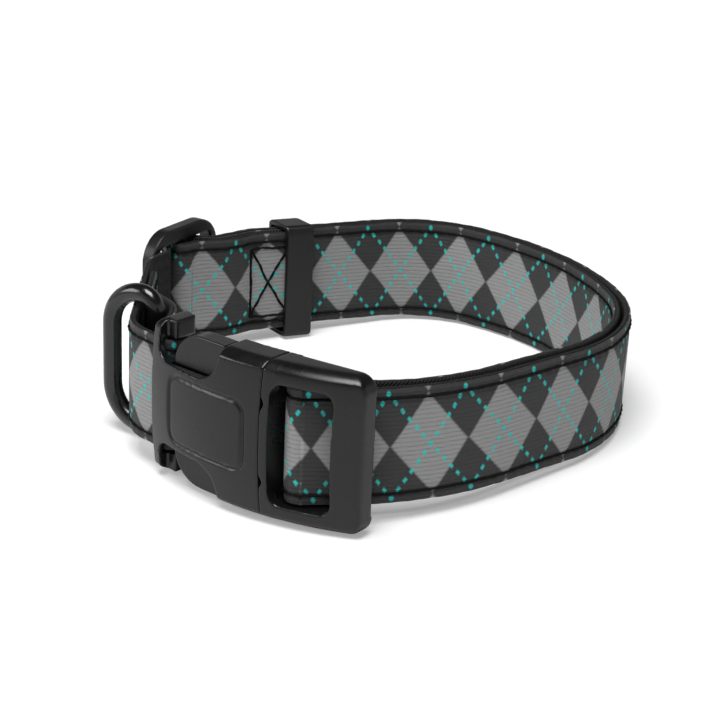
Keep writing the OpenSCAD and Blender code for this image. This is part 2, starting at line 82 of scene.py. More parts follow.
def along(a):
    """Unit vector at heading a."""
    a = np.radians(a)
    return np.stack([np.cos(a), np.sin(a)], -1)


def inward(a):
    """Unit vector a quarter turn to the left of heading a."""
    a = np.radians(a)
    return np.stack([-np.sin(a), np.cos(a)], -1)


def ease(x):
    """0 below 0, 1 above 1, and 3k^2 - 2k^3 between."""
    k = np.clip(x, 0, 1)
    return k * k * (3 - 2 * k)


def turn_about(axis, degrees):
    """3 by 3 rotation about a main axis."""
    return np.array(Matrix.Rotation(math.radians(degrees), 3, axis))


TILT = turn_about("Z", LEAN_HEADING) @ turn_about("Y", LEAN) @ turn_about("Z", -LEAN_HEADING)
HEAD = turn_about("Z", BUCKLE_HEADING)


def stand(p):
    """Buckle frame in millimetres to the shared frame in metres: turn in plan, shift, tip by the lean, lift."""
    q = p @ HEAD.T + np.array([*SPLIT_AT, 0])
    return (q @ TILT.T + np.array([0, 0, FLOOR_H])) / 1000


# Route of the strap: a chain of straight runs and left-hand bends, [run, bend radius, turn].
# The runs of the second and fifth steps are solved so that the ring closes on the buckle.
STEPS = [[5.6, 66, 35], [0, 41.5, 62], [0, 73, 44], [0, 29, 56], [0, 40, 38],
         [8, 9, 32], [38.5, 12, 42], [5.7, 8, 7], [1, 1, 0]]


def close_route():
    """Solves the two open runs, and lists each leg as [start length, x, y, heading, bend radius or 0]."""
    heading, at, heads = STRAP_ANGLE, np.zeros(2), []
    for run, r, t in STEPS:
        heads.append(heading)
        at = at + run * along(heading) + r * (inward(heading) - inward(heading + t))
        heading += t
    start = PLUG_BAR - LOOP_OUT * inward(STRAP_ANGLE)
    missing = SOCKET_BAR - np.array([0, LOOP_OUT]) - start - at
    STEPS[1][0], STEPS[4][0] = np.linalg.solve(np.stack([along(heads[1]), along(heads[4])], -1), missing)
    rows, s, at, heading = [], 0.0, start, STRAP_ANGLE
    for run, r, t in STEPS:
        rows.append([s, *at, heading, 0])
        at, s = at + run * along(heading), s + run
        rows.append([s, *at, heading, r])
        at, s = at + r * (inward(heading) - inward(heading + t)), s + r * math.radians(t)
        heading += t
    return np.array(rows)


LEGS = close_route()
SPLIT_S = LEGS[3, 0] + STEPS[1][1] * math.radians(STEPS[1][2]) / 2
GLIDE_S = LEGS[10, 0] + STEPS[5][0] - GLIDE_BACK
POST_S = LEGS[13, 0] - POST_BACK
LAST_RUN = 1
END_S = LEGS[16, 0] + LAST_RUN
BOX_S = GLIDE_S - BOX_BACK
FLAP_S = BOX_S - BOX_L / 2 - 1
RING_BOX_S = POST_S - RING_BOX_BACK
BACK_FLAP_S = RING_BOX_S - RING_BOX_L / 2 - 2


def heading_at(s):
    """Heading of the route at length s, and the leg that s is on."""
    leg = LEGS[np.clip(np.searchsorted(LEGS[:, 0], s + 1e-3, side="right") - 1, 0, len(LEGS) - 1)]
    r = leg[..., 4]
    return leg[..., 3] + np.where(r > 0, np.degrees((s - leg[..., 0]) / np.where(r > 0, r, 1)), 0), leg


def place(s, d):
    """Plan points at lengths s along the route, a distance d inward of it."""
    s = np.asarray(s, float)
    a, leg = heading_at(s)
    bent = leg[:, 4:] * (inward(leg[:, 3]) - inward(a))
    straight = (s - leg[:, 0])[:, None] * along(leg[:, 3])
    return leg[:, 1:3] + np.where(leg[:, 4:] > 0, bent, straight) + np.asarray(d)[..., None] * inward(a)


GLIDE_HEADING = float(heading_at(np.array(GLIDE_S))[0]) + GLIDE_TILT
GLIDE_MID = GLIDE_IN - GLIDE_BAR_R
GLIDE_LOOP = GLIDE_BAR_R + CLEAR
SLOT_END = GLIDE_L / 2 - GLIDE_BAR - GLIDE_MARGIN
INNER_FALL = SLOT_END + 1
DIP = GLIDE_IN + CLEAR
HUMP = GLIDE_MID - GLIDE_LOOP - 2 * STRAP_T - CLEAR
# Lengths over which the layers draw together: before the right-hand bend's middle, in all, and from the plug's loop,
# then the flap's ramp
SLACK_LEAD, SLACK_RUN, LOOP_RUN, FLAP_RAMP = 40, 90, 30, 4.4
# Pocket round the ring's post: play, where it starts to close, and the length over which it does
POCKET_PLAY, POCKET_HOLD, POCKET_FALL = 0.5, 2, 14


def outer_d(s):
    """Outer face: a cosine hump over the adjuster's middle bar, a dip under its end bars, then back to 0."""
    x = np.abs(s - GLIDE_S)
    wave = (DIP + HUMP) / 2 - (DIP - HUMP) / 2 * np.cos(np.pi * x / SLOT_END)
    return np.where(x < SLOT_END, wave, DIP * (1 - ease((x - GLIDE_L / 2 - GLIDE_MARGIN) / GLIDE_FADE)))


def stack_d(s):
    """Back of the inner layer: the outer face, one strap, the slack, and the flap where there is one."""
    slack = (LAYER_GAP + (FRONT_GAP - LAYER_GAP) * (1 - ease((s - SPLIT_S + SLACK_LEAD) / SLACK_RUN))
             + (2 * LOOP_IN - FRONT_GAP) * (1 - ease(s / LOOP_RUN)))
    flap = (STRAP_T + LAYER_CLEAR) * ease((s - FLAP_S + FLAP_RAMP) / FLAP_RAMP)
    return outer_d(s) + STRAP_T + slack + flap


def inner_d(s):
    """The stack, falling in an even curve to the adjuster's middle bar over the last stretch."""
    x, bar = GLIDE_S - s, GLIDE_MID + GLIDE_LOOP
    fall = bar + (stack_d(np.array(GLIDE_S - INNER_FALL)) - bar) * ease(x / INNER_FALL)
    return np.where(x < INNER_FALL, fall, stack_d(s))


def turn_d(s):
    """Turned-back end: from the socket's bar it opens into a pocket round the ring's post, then closes flat."""
    pocket, bar = POST_D + WIRE_R + POCKET_PLAY, STRAP_T + 2 * LOOP_IN
    before = bar + (pocket - bar) * ease((END_S - LAST_RUN - s) / (END_S - LAST_RUN - POST_S))
    flat = STRAP_T + LAYER_CLEAR
    after = flat + (pocket - flat) * (1 - ease((POST_S - POCKET_HOLD - s) / POCKET_FALL))
    return np.where(s > POST_S, before, after)


FOLD_N, COARSE, FINE = 28, 0.7, 0.45


def around(c, r, a, b):
    """Points of a fold: on the arc about c from angle a to angle b."""
    return c + r * along(np.linspace(a, b, FOLD_N))


def stations(a, b, step=FINE):
    """Evenly spaced lengths from a to b."""
    return np.linspace(a, b, int(abs(b - a) / step) + 2)


# Stations of each band, further apart on the long bends; then those of its turned-back end
FRONT_RUN = stations(SPLIT_S, 0, COARSE)
INNER_RUN = np.concatenate([stations(SPLIT_S, FLAP_S - 6, COARSE), stations(FLAP_S - 5.6, GLIDE_S)])
OUTER_RUN = np.concatenate([stations(SPLIT_S, GLIDE_S - 20, COARSE), stations(GLIDE_S - 19.5, END_S)])
INNER_BACK, OUTER_BACK = stations(GLIDE_S, FLAP_S), stations(END_S, BACK_FLAP_S)

# Where the print repeats: length along the layer, number of diamonds passed there, whole at a diamond's middle,
# and how far the print leans there. It is a little stretched and skewed in places, as on a real strap.
# The front band ends at a count of its own, and the fold round the adjuster's bar takes up a share of a diamond.
PITCH, PRINT_Z = 17.15, 11.5
FRONT_PRINT_END, GLIDE_FOLD_PRINT = -5.4, 0.6
OUTER_PRINT = np.array([[1.9, 0.5, 0.05], [17.9, 1.5, 0.05], [35.4, 2.5, 0.085], [54.0, 3.5, 0.1],
                        [70.1, 4.5, 0.08], [87.0, 5.5, 0.0], [297.0, 18.0, 0.0]])
INNER_PRINT = np.array([[87.4, -6.6, 0.0], [124.5, -4.5, 0.0], [142.2, -3.5, 0.017], [160.9, -2.5, -0.01],
                        [178.4, -1.5, -0.04], [196.5, -0.5, -0.066], [213.4, 0.5, -0.05], [224.8, 1.0, -0.03],
                        [235.8, 1.5, 0.0], [245.0, 2.0, 0.0], [248.1, 2.15, 0.0]])


def printed_at(s, knots):
    """Diamonds passed and lean at lengths s: straight lines between the knots, and the mean pitch outside them."""
    x, passed, lean = knots.T
    beyond = np.minimum(s - x[0], 0) / PITCH + np.maximum(s - x[-1], 0) / PITCH
    return np.stack([np.interp(s, x, passed) + beyond, np.interp(s, x, lean)], -1)


def carried_on(first, steps):
    """The print carried on from the end of a stretch by a number of diamonds for each new station, without lean."""
    return np.concatenate([first, np.stack([first[-1, 0] + steps, np.zeros(len(steps))], -1)])


def front_line(depth):
    """Front band's printed face at a depth: outer layer, round the plug's bar, and back along the inner layer."""
    s, back = FRONT_RUN, FRONT_RUN[::-1]
    bar = around(PLUG_BAR, LOOP_OUT - depth, STRAP_ANGLE + 270, STRAP_ANGLE + 90)
    return np.concatenate([place(s, outer_d(s) + depth), bar, place(back, inner_d(back) + STRAP_T - depth)])


def front_print():
    """Print along the front band."""
    bar = carried_on(printed_at(FRONT_RUN, OUTER_PRINT), np.linspace(0, -math.pi * LOOP_OUT / PITCH, FOLD_N))
    return carried_on(bar, np.linspace(0, FRONT_PRINT_END - bar[-1, 0], len(FRONT_RUN)))


def inner_line(depth):
    """Inner band: inner layer, round the adjuster's middle bar, and back as the sewn flap."""
    s, back = INNER_RUN, INNER_BACK
    arc = around(np.array([0, GLIDE_MID]), GLIDE_LOOP + STRAP_T - depth, 90, -90)
    bar = place([GLIDE_S], np.zeros(1)) + arc[:, :1] * along(GLIDE_HEADING) + arc[:, 1:] * inward(GLIDE_HEADING)
    return np.concatenate([place(s, inner_d(s) + STRAP_T - depth), bar,
                           place(back, outer_d(back) + STRAP_T + CLEAR + depth)])


def inner_print():
    """Print along the inner band."""
    bar = carried_on(printed_at(INNER_RUN, INNER_PRINT), np.linspace(0, GLIDE_FOLD_PRINT, FOLD_N))
    return carried_on(bar, (GLIDE_S - INNER_BACK) / PITCH)


def outer_line(depth):
    """Outer band: outer layer through the adjuster, round the socket's bar, and the end turned back over the post."""
    s, back = OUTER_RUN, OUTER_BACK
    bar = around(SOCKET_BAR, LOOP_OUT - depth, -90, 90)
    return np.concatenate([place(s, outer_d(s) + depth), bar, place(back, turn_d(back) + STRAP_T - depth)])


def outer_print():
    """Print along the outer band."""
    bar = carried_on(printed_at(OUTER_RUN, OUTER_PRINT), np.linspace(0, math.pi * LOOP_OUT / PITCH, FOLD_N))
    return carried_on(bar, (END_S - OUTER_BACK) / PITCH)


def surface(name, grid, u, v, finish, ends=True):
    """Mesh of a tube: grid[i, j] runs along i and closes round j, and each end is capped by one face.
    u and v, in the same shape with one more column, become the UV map "weave"."""
    rows, cols = grid.shape[:2]
    i, j = np.meshgrid(np.arange(rows - 1), np.arange(cols), indexing="ij")
    k = (j + 1) % cols
    quads = np.stack([i * cols + j, i * cols + k, (i + 1) * cols + k, (i + 1) * cols + j], -1).reshape(-1, 4)
    corner = np.stack([np.stack([u[a, b], v[a, b]], -1) for a, b in
                       ((i, j), (i, j + 1), (i + 1, j + 1), (i + 1, j))], 2).reshape(-1, 2)
    faces = quads.tolist()
    if ends:
        faces += [list(range(cols))[::-1], list(range((rows - 1) * cols, rows * cols))]
        corner = np.concatenate([corner, np.stack([u[0, :cols], v[0, :cols]], -1)[::-1],
                                 np.stack([u[-1, :cols], v[-1, :cols]], -1)])
    mesh = bpy.data.meshes.new(name)
    mesh.from_pydata(grid.reshape(-1, 3).tolist(), [], faces)
    layer = mesh.uv_layers.new(name="weave")
    layer.data.foreach_set("uv", corner.astype(np.float32).ravel())
    mesh.polygons.foreach_set("use_smooth", np.ones(len(mesh.polygons), bool))
    tidy = bmesh.new()
    tidy.from_mesh(mesh)
    bmesh.ops.recalc_face_normals(tidy, faces=tidy.faces)
    tidy.to_mesh(mesh)
    tidy.free()
    piece = bpy.data.objects.new(name, mesh)
    bpy.context.collection.objects.link(piece)
    mesh.materials.append(finish)
    return piece


def sway(x, seed):
    """Slow unevenness of hand-fed cloth: three sines of unlike wavelengths, between about -1 and 1."""
    return (np.sin(x * 0.39 + seed) + 0.6 * np.sin(x * 0.83 + 2.1 * seed)
            + 0.4 * np.sin(x * 1.7 + 3.3 * seed)) / 2


def band_section(line, z, depth):
    """Points of a band: at every station of the line, across heights z, each at its own depth in the strap."""
    face = line(0.0)
    into = (line(STRAP_T) - face) / STRAP_T
    flat = face[:, None, :] + into[:, None, :] * depth[..., None]
    return stand(np.concatenate([flat, np.broadcast_to(z, depth.shape)[..., None]], -1))


def lengths(points):
    """Running length along a line."""
    return np.concatenate([[0], np.cumsum(np.linalg.norm(np.diff(points, axis=0), axis=1))])


# Ribbon: crown, dent along a seam and its width, rise and sway of the free lip, sway of its edge, puckers with their
# spacing and width, depth of its back, and its least thickness
CROWN, DENT, DENT_W, LIP, LIP_SWAY, EDGE_SWAY = 0.1, 0.24, 0.55, 0.16, 0.1, 0.08
PUCKER, PUCKER_STEP, PUCKER_W = 0.05, 2.6, 1.6
RIBBON_BACK, RIBBON_THIN = 0.46, 0.12


def ribbon_cover(name, line, passed, finish):
    """Printed ribbon, sewn down near both edges. Across the strap its face is a low crown between the seams,
    0.1 (1 - (z/seam)^4) mm high, with a dent 0.24 exp(-((|z| - seam) / 0.55)^2) along each seam, puckers that follow
    cos(2 pi s / 2.6) beside it, and a free lip outside it that rises and falls along the strap. The back lies 0.46 mm
    deep, or 0.12 mm under the face where that is deeper, and the two close in a rolled edge."""
    run = lengths(line(0.0))[:, None]
    half = STRAP_W / 2 - 0.1
    out = half * np.sin(np.linspace(-1, 1, 33) * np.pi / 2 * 0.97) / math.sin(np.pi / 2 * 0.97)
    z = np.concatenate([out, out[::-1][1:-1]])
    front, top = np.arange(len(z)) < len(out), z > 0
    off = np.abs(z) - SEAM_Z
    crown = CROWN * (1 - np.clip(np.abs(z) / SEAM_Z, 0, 1) ** 4)
    dent = DENT * np.exp(-(off / DENT_W) ** 2)
    lip = np.clip(off / (half - SEAM_Z), 0, 1)
    wander = np.where(top, sway(run, 1.3), sway(run, 4.2))
    pucker = PUCKER * np.cos(2 * np.pi * run / PUCKER_STEP) * np.exp(-(off / PUCKER_W) ** 2)
    face = dent - crown + 0.02 + lip ** 2 * (LIP + LIP_SWAY * wander) + pucker
    depth = np.where(front, face, np.maximum(face + RIBBON_THIN, RIBBON_BACK))
    edge = z + np.sign(z) * lip ** 3 * EDGE_SWAY * np.where(top, sway(run, 2.2), sway(run, 5.1))
    grid = band_section(line, edge, depth)
    v = np.broadcast_to(np.append(z, z[0]) / PRINT_Z, (len(run), len(z) + 1))
    count, lean = passed().T[..., None]
    return surface(name, grid, count + lean * v, v, finish)


def webbing_core(name, line, finish):
    """Woven core behind the ribbon: a flat band whose two edges are half rounds of its thickness."""
    run = lengths(line(0.0))[:, None]
    r = CORE_T / 2
    a = np.linspace(-90, 90, 9)
    half = STRAP_W / 2 - r
    z = np.concatenate([half + r * np.cos(np.radians(a)), -half - r * np.cos(np.radians(a))])
    deep = np.concatenate([r * np.sin(np.radians(a)), -r * np.sin(np.radians(a))])
    depth = np.broadcast_to(COVER_T + r + deep * 0.98, (len(run), len(z)))
    edge = z + 0.06 * np.sign(z) * np.where(z > 0, sway(run, 0.4), sway(run, 3.1))
    grid = band_section(line, edge, depth)
    v = np.broadcast_to(np.append(z, z[0]), (len(run), len(z) + 1))
    u = np.broadcast_to(run, v.shape)
    return surface(name, grid, u, v, finish)


# Stitch length, radii of the threads of seams and boxes, spacing of their points, and how far a box stands proud
STITCH, SEAM_R, BOX_R, SEAM_STEP, BOX_STEP, PROUD = 2.7, 0.31, 0.33, 0.32, 0.3, 0.06
THREAD_SIDES = 8


def thread(path, normal, side, radius, name, finish):
    """Row of stitches: a round thread along path whose radius follows 0.65 + 0.35 |sin(pi s / stitch)|^0.4
    and which dips below the face where it goes through the cloth."""
    run = lengths(path)
    swell = np.abs(np.sin(np.pi * run / STITCH)) ** 0.4
    r = radius * (0.65 + 0.35 * swell)
    a = np.linspace(0, 2 * np.pi, THREAD_SIDES + 1)[:-1]
    sink = 0.16 * (1 - swell) - 0.06
    middle = path + normal * sink[:, None]
    ring = (np.cos(a)[None, :, None] * side[:, None, :] + np.sin(a)[None, :, None] * normal[:, None, :])
    grid = stand(middle[:, None, :] + ring * r[:, None, None])
    v = np.broadcast_to(np.linspace(0, 1, THREAD_SIDES + 1), (len(run), THREAD_SIDES + 1))
    u = np.broadcast_to(run[:, None], v.shape)
    return surface(name, grid, u, v, finish)


def resample(points, step):
    """Points every step along a line."""
    run = lengths(points)
    at = np.linspace(0, run[-1], int(run[-1] / step) + 1)
    return np.stack([np.interp(at, run, points[:, k]) for k in range(points.shape[1])], -1)


def joined(name, parts):
    """One piece from several, sharing the first one's finish."""
    with bpy.context.temp_override(active_object=parts[0], selected_editable_objects=parts, object=parts[0]):
        bpy.ops.object.join()
    parts[0].name = name
    parts[0].data.name = name
    return parts[0]


def edge_seams(name, line, finish):
    """The two rows of stitches of a band, each a seam's distance from its edge and wandering 0.12 mm."""
    face = line(0.0)
    both = resample(np.concatenate([face, line(STRAP_T)], 1), SEAM_STEP)
    run = lengths(both[:, :2])
    into = np.concatenate([(both[:, 2:] - both[:, :2]) / STRAP_T, np.zeros((len(both), 1))], 1)
    up = np.broadcast_to(np.array([0, 0, 1.0]), into.shape)
    rows = []
    for k in (-1, 1):
        z = k * SEAM_Z + 0.12 * sway(run * 0.6, 2.0 + k)
        path = np.concatenate([both[:, :2], z[:, None]], 1)
        rows.append(thread(path, into, up, SEAM_R, f"{name}_row", finish))
    return joined(name, rows)


def box_stitches(name, s, length, face, facing, finish):
    """Box of stitches with a cross: rows laid on the strap at length s, on the face at distance face() from the
    route, wandering 0.22 mm. The end nearest the fitting is sewn twice."""
    x, z = length / 2 - 0.3, BOX_H / 2 - 0.3
    corners = np.array([[-x, -z], [x, -z], [x, z], [-x, z]])
    rows = []
    for p, q in ((0, 1), (1, 2), (2, 1), (2, 3), (3, 0), (0, 2), (1, 3)):
        n = int(np.linalg.norm(corners[q] - corners[p]) / BOX_STEP)
        at = corners[p] + np.linspace(0, 1, n)[:, None] * (corners[q] - corners[p])
        at = at + 0.22 * np.stack([sway(at[:, 1], 1.0 + 2 * p + q), sway(at[:, 0] * 2, 3.0 + q)], -1)
        run = s + at[:, 0]
        path = np.concatenate([place(run, face(run)), at[:, 1:]], 1)
        into = np.concatenate([facing * inward(heading_at(run)[0]), np.zeros((n, 1))], 1)
        tangent = np.gradient(path, axis=0)
        tangent /= np.linalg.norm(tangent, axis=1)[:, None]
        rows.append(thread(path, into, np.cross(into, tangent), BOX_R, f"{name}_row", finish))
    return joined(name, rows)


WIRE_STEP, WIRE_SIDES = 0.4, 24


def ring_wire(name, finish):
    """Round wire carried along the D: a straight post, two tight corners, two quarter bows and a short flat."""
    bow_r = RING_DEPTH - RING_CORNER
    flat = RING_A - bow_r
    q = np.linspace(0, 90, 14)
    top = RING_A - RING_CORNER
    path = np.concatenate([
        np.stack([np.zeros(10), np.linspace(-top, top, 10)], -1),
        np.array([RING_CORNER, top]) + RING_CORNER * along(180 - q)[1:],
        np.array([RING_CORNER, flat]) + bow_r * along(90 - q)[1:],
        np.stack([np.full(6, RING_DEPTH), np.linspace(flat, -flat, 8)[1:-1]], -1),
        np.array([RING_CORNER, -flat]) + bow_r * along(-q),
        np.array([RING_CORNER, -top]) + RING_CORNER * along(-90 - q)[1:-1]])
    path = resample(np.concatenate([path, path[:1]]), WIRE_STEP)[:-1]
    step = np.roll(path, -1, 0) - np.roll(path, 1, 0)
    step /= np.linalg.norm(step, axis=1)[:, None]
    normal = np.stack([step[:, 1], -step[:, 0]], -1)
    a = np.linspace(0, 360, WIRE_SIDES + 1)[:-1]
    ca, sa = WIRE_R * along(a).T
    x = path[:, :1] + normal[:, :1] * ca
    z = path[:, 1:] + normal[:, 1:] * ca
    y = np.broadcast_to(sa, x.shape)
    grid = np.stack([x, y, z], -1)
    grid = np.concatenate([grid, grid[:1]])
    post = place([POST_S], np.array([POST_D]))[0]
    lead, across = along(RING_HEADING), inward(RING_HEADING)
    plan = post + grid[..., :1] * lead + grid[..., 1:2] * across
    world = stand(np.concatenate([plan, grid[..., 2:]], -1))
    u = np.broadcast_to(np.arange(len(world))[:, None] * WIRE_STEP, (len(world), WIRE_SIDES + 1))
    v = np.broadcast_to(np.linspace(0, 1, WIRE_SIDES + 1), u.shape)
    piece = surface(name, world, u, v, finish, ends=False)
    merge(piece.data, SAME_POINT)
    return piece


# Distance in metres below which two points are one
SAME_POINT = 1e-6


def merge(mesh, distance):
    """Joins vertices that lie within a distance of each other."""
    work = bmesh.new()
    work.from_mesh(mesh)
    bmesh.ops.remove_doubles(work, verts=work.verts, dist=distance)
    work.to_mesh(mesh)
    work.free()


def evaluated(piece):
    """Mesh of a piece with its modifiers applied."""
    bpy.context.view_layer.update()
    return bpy.data.meshes.new_from_object(piece.evaluated_get(bpy.context.evaluated_depsgraph_get()))


# Where the plug's far end starts, in millimetres from the line between socket and plug
FAR_END = 3.0


def moulded(node, name, finish, heading, voxel, rounds, far_rounds):
    """A solid's own mesh with the soft edges of a moulding: merged, rebuilt on a fine voxel grid that lies along its
    own heading in the buckle's frame, so that flat faces stay flat, and smoothed, its far end by more rounds."""
    square = (Matrix.Translation((0, 0, FLOOR_H / 1000)) @ Matrix(TILT.tolist()).to_4x4()
              @ Matrix.Translation((*(SPLIT_AT / 1000), 0))
              @ Matrix.Rotation(math.radians(BUCKLE_HEADING + heading), 4, "Z"))
    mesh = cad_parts[node].data.copy()
    mesh.transform(square.inverted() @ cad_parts[node].matrix_world)
    merge(mesh, SAME_POINT)
    piece = bpy.data.objects.new(name, mesh)
    bpy.context.collection.objects.link(piece)
    remesh = piece.modifiers.new("moulding", "REMESH")
    remesh.mode = "VOXEL"
    remesh.voxel_size = voxel / 1000
    piece.data = evaluated(piece)
    piece.modifiers.clear()
    points = np.empty(len(piece.data.vertices) * 3, np.float32)
    piece.data.vertices.foreach_get("co", points)
    far = piece.vertex_groups.new(name="far_end")
    far.add(np.flatnonzero(points[::3] > FAR_END / 1000).tolist(), 1.0, "REPLACE")
    for group, count in (("", rounds), (far.name, far_rounds)):
        smooth = piece.modifiers.new("edges", "SMOOTH")
        smooth.factor = 0.5
        smooth.iterations = count
        smooth.vertex_group = group
    done = evaluated(piece)
    piece.modifiers.clear()
    piece.vertex_groups.clear()
    piece.data = done
    done.transform(square)
    done.name = name
    done.polygons.foreach_set("use_smooth", np.ones(len(done.polygons), bool))
    done.materials.clear()
    done.materials.append(finish)
    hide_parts(node)
    return piece


def srgb(code):
    """Hex colour to linear RGBA: c / 12.92 below 0.04045, else ((c + 0.055) / 1.055)^2.4."""
    c = np.array([int(code[k:k + 2], 16) / 255 for k in (1, 3, 5)])
    return [*np.where(c < 0.04045, c / 12.92, ((c + 0.055) / 1.055) ** 2.4).tolist(), 1.0]


def fill(tree, node, inputs):
    """Sets a node's inputs, or links them where the value is another node's output."""
    for key, value in inputs.items():
        if isinstance(value, bpy.types.NodeSocket):
            tree.links.new(value, node.inputs[key])
        else:
            node.inputs[key].default_value = value


def add(tree, kind, inputs=None, **settings):
    """Adds a node, sets its properties, and fills or links its inputs."""
    node = tree.nodes.new(kind)
    for key, value in settings.items():
        setattr(node, key, value)
    fill(tree, node, inputs or {})
    return node


def new_material(name):
    """Empty material with its shader and output; returns the material, its tree and the shader."""
    material = bpy.data.materials.new(name)
    material.use_nodes = True
    tree = material.node_tree
    tree.nodes.clear()
    shader = add(tree, "ShaderNodeBsdfPrincipled")
    add(tree, "ShaderNodeOutputMaterial", {"Surface": shader.outputs[0]})
    return material, tree, shader


def printed_grosgrain():
    """Woven polyester ribbon, heat-printed with an argyle: matt, with painted shade along the groove between its ribs
    about every millimetre, dark and light diamonds that meet at their points, and dotted diagonals of a brighter
    colour."""
    material, tree, shader = new_material("printed_polyester_grosgrain")
    uv = add(tree, "ShaderNodeUVMap", uv_map="weave").outputs[0]
    parts = add(tree, "ShaderNodeSeparateXYZ", {0: uv})
    flat = add(tree, "ShaderNodeVectorMath", {0: uv, 1: (PITCH, PRINT_Z, 1.0)}, operation="MULTIPLY").outputs[0]
    # Streaks are ten times as long along the strap as across it
    drawn = add(tree, "ShaderNodeVectorMath", {0: flat, 1: (0.5, 5.0, 1.0)}, operation="MULTIPLY").outputs[0]
    made = {
        "t": parts.outputs[0],
        "v": parts.outputs[1],
        "wobble": add(tree, "ShaderNodeTexNoise", {"Vector": flat, "Scale": 0.5, "Detail": 2.0}).outputs[0],
        "streak": add(tree, "ShaderNodeTexNoise", {"Vector": drawn, "Scale": 1.3, "Detail": 3.0}).outputs[0],
        "grain": add(tree, "ShaderNodeTexNoise", {"Vector": flat, "Scale": 3.2, "Detail": 3.0}).outputs[0],
        "patch": add(tree, "ShaderNodeTexNoise", {"Vector": flat, "Scale": 0.7, "Detail": 1.0}).outputs[0]}
    # Each row is a result, an operation and what it works on; a multiply-add is a ramp held between 0 and 1
    rows = (
        # Line between two ribs, 0.98 mm apart, broken along its length
        ("row", "MULTIPLY", "v", PRINT_Z / 0.98),
        ("wobble", "MULTIPLY", "wobble", 0.5),
        ("row", "ADD", "row", "wobble"),
        ("near", "ROUND", "row"),
        ("rib", "SUBTRACT", "row", "near"),
        ("rib", "ABSOLUTE", "rib"),
        ("rib", "MULTIPLY_ADD", "rib", -7.0, 1.6),
        ("broken", "MULTIPLY_ADD", "streak", 4.0, -1.4),
        ("rib", "MULTIPLY", "rib", "broken"),
        # Argyle: a = 2 |t - nearest whole| and b = |v - nearest even whole|, a diamond where a + b is below 1
        ("near", "ROUND", "t"),
        ("a", "SUBTRACT", "t", "near"),
        ("a", "ABSOLUTE", "a"),
        ("a", "MULTIPLY", "a", 2.0),
        ("half", "MULTIPLY", "v", 0.5),
        ("near", "ROUND", "half"),
        ("b", "SUBTRACT", "half", "near"),
        ("b", "ABSOLUTE", "b"),
        ("b", "MULTIPLY", "b", 2.0),
        ("both", "ADD", "a", "b"),
        ("blur", "MULTIPLY", "streak", 0.06),
        ("edge", "ADD", "both", "blur"),
        ("diamond", "MULTIPLY_ADD", "edge", -14.0, 14.6),
        # Dots along the diagonals a = b, six from a diamond's middle to its neighbour's corner
        ("off", "SUBTRACT", "a", "b"),
        ("off", "ABSOLUTE", "off"),
        ("line", "MULTIPLY_ADD", "off", -22.0, 1.7),
        ("beat", "MULTIPLY", "both", 3.0),
        ("near", "ROUND", "beat"),
        ("beat", "SUBTRACT", "beat", "near"),
        ("beat", "ABSOLUTE", "beat"),
        ("dot", "MULTIPLY_ADD", "beat", -8.0, 2.35),
        ("dot", "MULTIPLY", "dot", "line"),
        ("faded", "MULTIPLY_ADD", "patch", 1.2, 0.35),
        ("dot", "MULTIPLY", "dot", "faded"),
        # Painted shade in the grooves between the ribs, and streaks of tone along the yarn
        ("shade", "MULTIPLY", "rib", -0.3),
        ("tint", "MULTIPLY", "streak", 0.24),
        ("shade", "ADD", "shade", "tint"),
        ("shade", "ADD", "shade", 0.9),
        # Relief: the grain stands up and the lines between ribs sink in; then the roughness
        ("fuzz", "MULTIPLY", "grain", 0.45),
        ("height", "SUBTRACT", "fuzz", "rib"),
        ("rough", "MULTIPLY", "grain", 0.14),
        ("rough", "ADD", "rough", 0.66))
    for name, operation, *values in rows:
        node = add(tree, "ShaderNodeMath", {k: made.get(x, x) for k, x in enumerate(values)},
                   operation=operation, use_clamp=operation == "MULTIPLY_ADD")
        made[name] = node.outputs[0]
    cloth = add(tree, "ShaderNodeMix", {0: made["diamond"], 6: srgb("#3a3a3b"), 7: srgb("#979897")},
                data_type="RGBA").outputs[2]
    inked = add(tree, "ShaderNodeMix", {0: made["dot"], 6: cloth, 7: srgb("#2cc6c0")}, data_type="RGBA").outputs[2]
    # Painted shade: the cloth's colour is darkened along the grooves between the ribs and streaked in tone along the
    # yarn
    cloth_with_painted_groove_shade = add(tree, "ShaderNodeVectorMath", {0: inked, 3: made["shade"]}, operation="SCALE").outputs[0]
    bump = add(tree, "ShaderNodeBump", {"Height": made["height"], "Strength": 0.5, "Distance": 0.00016}).outputs[0]
    fill(tree, shader, {"Base Color": cloth_with_painted_groove_shade, "Normal": bump, "Roughness": made["rough"],
                        "Specular IOR Level": 0.3, "Sheen Weight": 0.08})
    return material


